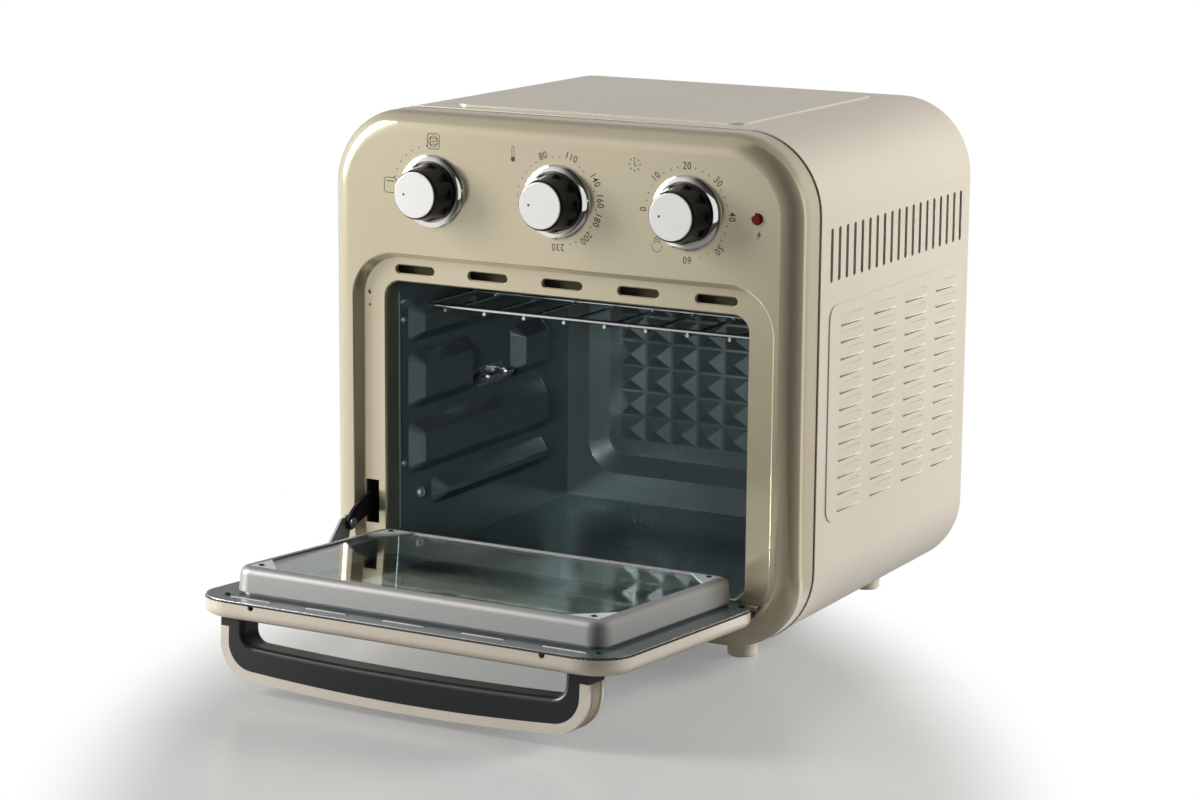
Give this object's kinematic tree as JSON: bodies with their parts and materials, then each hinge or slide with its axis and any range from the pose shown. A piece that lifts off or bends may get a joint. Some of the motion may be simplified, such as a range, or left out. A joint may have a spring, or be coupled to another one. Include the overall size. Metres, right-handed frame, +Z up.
{
  "type": "air fryer oven",
  "caption": "Compact countertop air fryer oven with a drop-down glass door, loop handle, three dials, vented sides and a wire rack.",
  "frame": {"origin": "centre of the bounding box of the oven with its door open, on the table under the feet", "axes": "+X to the right seen from the front, front towards -Y, +Z up"},
  "size_m": [0.3256, 0.445, 0.3208],
  "materials": {
    "black_plastic": "satin",
    "black_steel": "satin",
    "chrome": "polished",
    "clear_glass": "clear",
    "copper_motor": "matte",
    "cream_lacquer": "gloss",
    "cream_plastic": "gloss",
    "dark_nonstick": "satin",
    "frame_grey": "satin",
    "liner_grey": "satin",
    "red_lens": "gloss",
    "silver_cap": "satin",
    "steel": "satin",
    "taupe_inlay": "satin",
    "white_plastic": "matte",
    "zinc_sheet": "satin"
  },
  "bodies": {
    "oven": {"base_plate": "zinc_sheet", "bulb_clip": "steel", "cavity_ceiling": "dark_nonstick", "cavity_floor": "dark_nonstick", "cavity_left_wall": "dark_nonstick", "cavity_mouth": "dark_nonstick", "cavity_rear_wall": "dark_nonstick", "cavity_right_wall": "dark_nonstick", "cavity_screws": "steel", "control_plate": "zinc_sheet", "cord_gland": "black_plastic", "fan_guard": "dark_nonstick", "fan_motor": "copper_motor", "fan_room": "zinc_sheet", "feet": "cream_plastic", "foot_screws": "steel", "front_fascia": "cream_lacquer", "function_switch": "white_plastic", "heater_bushes": "white_plastic", "hinge_pins": "steel", "hinge_spring": "steel", "indicator_lens": "red_lens", "knob_bezels": "chrome", "lower_heater": "steel", "motor_bracket": "zinc_sheet", "outer_casing": "cream_lacquer", "rear_cover": "cream_lacquer", "rear_cover_screws": "steel", "thermostat_body": "white_plastic", "thermostat_bulb": "steel", "timer_body": "white_plastic", "upper_heater": "steel"},
    "door": {"door_skin": "cream_lacquer", "door_liner": "liner_grey", "glass_frame": "frame_grey", "inner_glass": "clear_glass", "outer_glass": "clear_glass", "glass_clips": "chrome", "door_screws": "steel", "handle_core": "black_plastic", "handle_shell": "cream_plastic", "handle_inlay": "taupe_inlay", "handle_trims": "chrome", "door_hinge_bracket": "frame_grey", "arm_pin": "steel"},
    "hinge_arm": {"hinge_arm": "black_steel"},
    "wire_rack": {"wire_rack": "chrome"},
    "fan": {"fan_shaft": "steel", "fan_impeller": "steel", "cooling_fan": "zinc_sheet"},
    "function_knob": {"function_knob": "black_plastic", "function_knob_cap": "silver_cap", "function_shaft": "steel"},
    "temperature_knob": {"temperature_knob": "black_plastic", "temperature_knob_cap": "silver_cap", "temperature_shaft": "steel"},
    "timer_knob": {"timer_knob": "black_plastic", "timer_knob_cap": "silver_cap", "timer_shaft": "steel"}
  },
  "joints": [
    {"name": "door_hinge", "type": "hinge", "parent": "oven", "child": "door", "pos_m": [0, -0.03598, 0.0413], "axis": [-1, 0, 0], "range_deg": [0, 86.2], "deforming": ["hinge_spring"]},
    {"name": "arm_pivot", "type": "hinge", "parent": "door", "child": "hinge_arm", "pos_m": [-0.1353, -0.05699, 0.06454], "axis": [-1, 0, 0], "range_deg": [-86.2, 0]},
    {"name": "function_turn", "type": "hinge", "parent": "oven", "child": "function_knob", "pos_m": [-0.0865, -0.03948, 0.2726], "axis": [0, 1, 0], "range_deg": [0, 90]},
    {"name": "temperature_turn", "type": "hinge", "parent": "oven", "child": "temperature_knob", "pos_m": [0, -0.03948, 0.2726], "axis": [0, 1, 0], "range_deg": [0, 265]},
    {"name": "timer_turn", "type": "hinge", "parent": "oven", "child": "timer_knob", "pos_m": [0.0865, -0.03948, 0.2726], "axis": [0, 1, 0], "range_deg": [-45, 270]},
    {"name": "rack_slide", "type": "slide", "parent": "oven", "child": "wire_rack", "axis": [0, 1, 0], "range_m": [-0.19, 0]},
    {"name": "fan_spin", "type": "hinge", "parent": "oven", "child": "fan", "pos_m": [0, 0.08852, 0.226], "axis": [0, 0, 1], "continuous": true}
  ],
  "couplings": [
    {"joint": "arm_pivot", "follows": "door_hinge", "ratio": -1}
  ]
}
